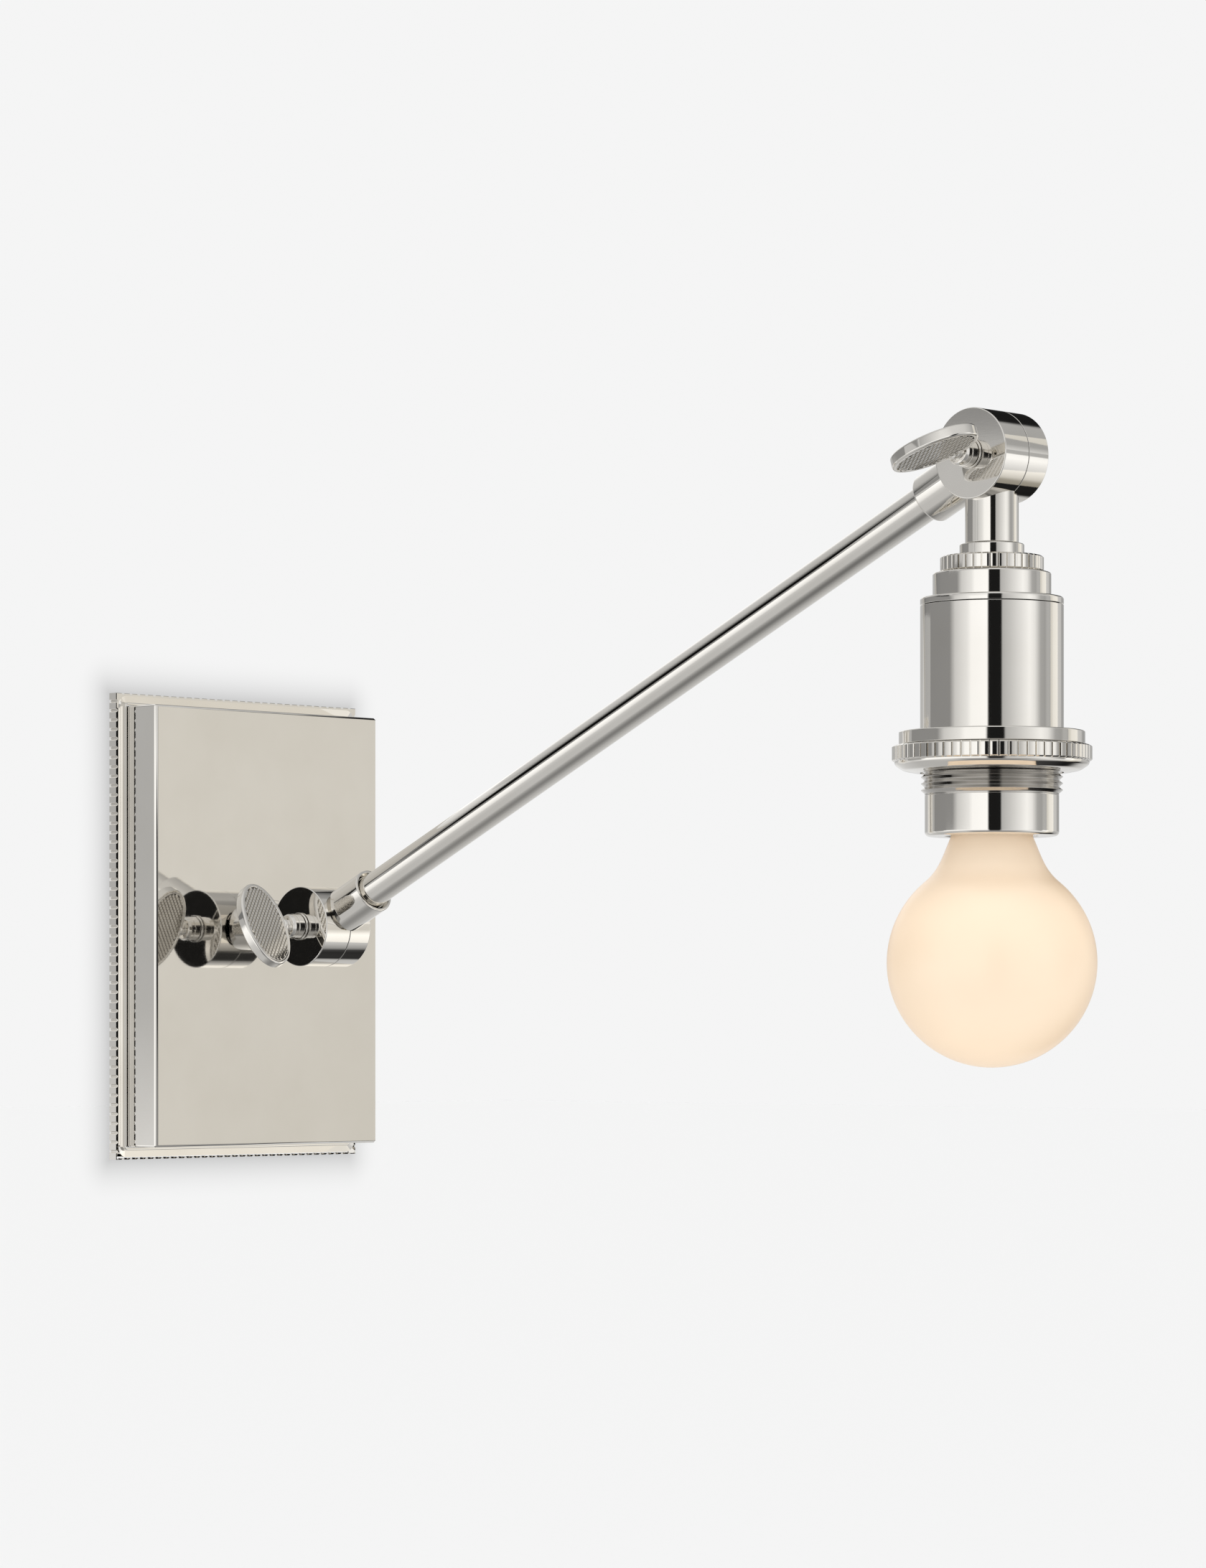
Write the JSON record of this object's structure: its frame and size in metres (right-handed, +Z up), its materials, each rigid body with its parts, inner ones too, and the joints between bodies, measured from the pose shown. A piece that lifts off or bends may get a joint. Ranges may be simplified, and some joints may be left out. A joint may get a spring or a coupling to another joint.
{
  "type": "swing arm wall sconce",
  "caption": "Wall sconce in polished nickel: coin-edged backplate, clamped swing arm on two keyed knuckles, and a tilting lampholder head with a threaded shade ring and a globe bulb.",
  "frame": {"origin": "centre of the backplate on the wall plane", "axes": "+Y into the wall, -Y out towards the room, +Z up, +X to the right as seen facing the wall; the wall is the plane y = 0"},
  "size_m": [0.1404, 0.4711, 0.2898],
  "materials": {
    "polished_nickel": "polished nickel plate, mirror bright with a warm tint",
    "zinc_steel": "zinc-plated steel, satin",
    "brass": "plain brass, satin",
    "rubber": "black rubber, matt",
    "ceramic": null,
    "lead_sleeve": "white insulating sleeve, matt",
    "aluminium": "plain pressed aluminium",
    "opal_glass": "opal white glass, soft gloss",
    "black_glass": "black vitrite insulator",
    "green_paint": "green painted ground screw"
  },
  "bodies": {
    "backplate": {"backplate_rim": "polished_nickel", "backplate_pan": "polished_nickel", "wall_bracket": "zinc_steel", "plate_set_screw_top": "zinc_steel", "plate_set_screw_bottom": "zinc_steel", "ground_screw": "green_paint"},
    "wall_stem": {"wall_stem_knuckle_half": "polished_nickel", "stem_washer": "polished_nickel", "stem_wave_washer": "zinc_steel", "stem_nut": "brass", "wall_stem_leads": "lead_sleeve", "lower_friction_ring": "rubber"},
    "lower_key": {"lower_key": "polished_nickel", "lower_key_washer": "polished_nickel"},
    "arm": {"arm_collar_knuckle_half": "polished_nickel", "arm_tube": "polished_nickel", "arm_leads": "lead_sleeve", "arm_ferrule_knuckle_half": "polished_nickel", "upper_friction_ring": "rubber"},
    "upper_key": {"upper_key": "polished_nickel", "upper_key_washer": "polished_nickel"},
    "head": {"head_stem_knuckle_half": "polished_nickel", "stem_collar": "polished_nickel", "cap_lock_ring": "polished_nickel", "socket_cap": "polished_nickel", "socket_housing": "polished_nickel", "shade_carrier": "polished_nickel", "nipple": "zinc_steel", "nipple_nut": "brass", "head_leads": "lead_sleeve", "lampholder_cap": "ceramic", "lampholder_body": "ceramic", "screw_shell": "brass", "centre_contact": "brass", "terminal_screw_line": "brass", "terminal_screw_neutral": "zinc_steel"},
    "shade_gasket": {"shade_gasket": "rubber"},
    "shade_ring": {"shade_ring": "polished_nickel"},
    "bulb": {"bulb_glass": "opal_glass", "bulb_cap": "aluminium", "bulb_insulator": "black_glass", "bulb_tip": "brass"}
  },
  "joints": [
    {"name": "wall_swivel", "type": "hinge", "parent": "backplate", "child": "wall_stem", "pos_m": [0, 0, 0], "axis": [0, -1, 0], "range_deg": [-90, 90]},
    {"name": "arm_tilt", "type": "hinge", "parent": "wall_stem", "child": "arm", "pos_m": [0, -0.0587, 0], "axis": [-1, 0, 0], "range_deg": [-104.8, 55.2]},
    {"name": "head_tilt", "type": "hinge", "parent": "arm", "child": "head", "pos_m": [0, -0.43143, 0.17223], "axis": [-1, 0, 0], "range_deg": [0, 180]},
    {"name": "lower_key_turn", "type": "hinge", "parent": "wall_stem", "child": "lower_key", "pos_m": [0, -0.0587, 0], "axis": [-1, 0, 0], "range_deg": [0, 90]},
    {"name": "upper_key_turn", "type": "hinge", "parent": "arm", "child": "upper_key", "pos_m": [0, -0.43143, 0.17223], "axis": [-1, 0, 0], "range_deg": [0, 90]},
    {"name": "shade_gasket_travel", "type": "slide", "parent": "head", "child": "shade_gasket", "axis": [0, 0, -1], "range_m": [0, 0.0075]},
    {"name": "shade_ring_turn", "type": "hinge", "parent": "shade_gasket", "child": "shade_ring", "pos_m": [0, -0.43143, 0.17223], "axis": [0, 0, -1], "range_deg": [0, 1080]},
    {"name": "bulb_removal", "type": "slide", "parent": "head", "child": "bulb", "axis": [0, 0, -1], "range_m": [0, 0.03]}
  ],
  "couplings": [
    {"joint": "shade_gasket_travel", "follows": "shade_ring_turn", "m_per_rad": 0.000397}
  ]
}
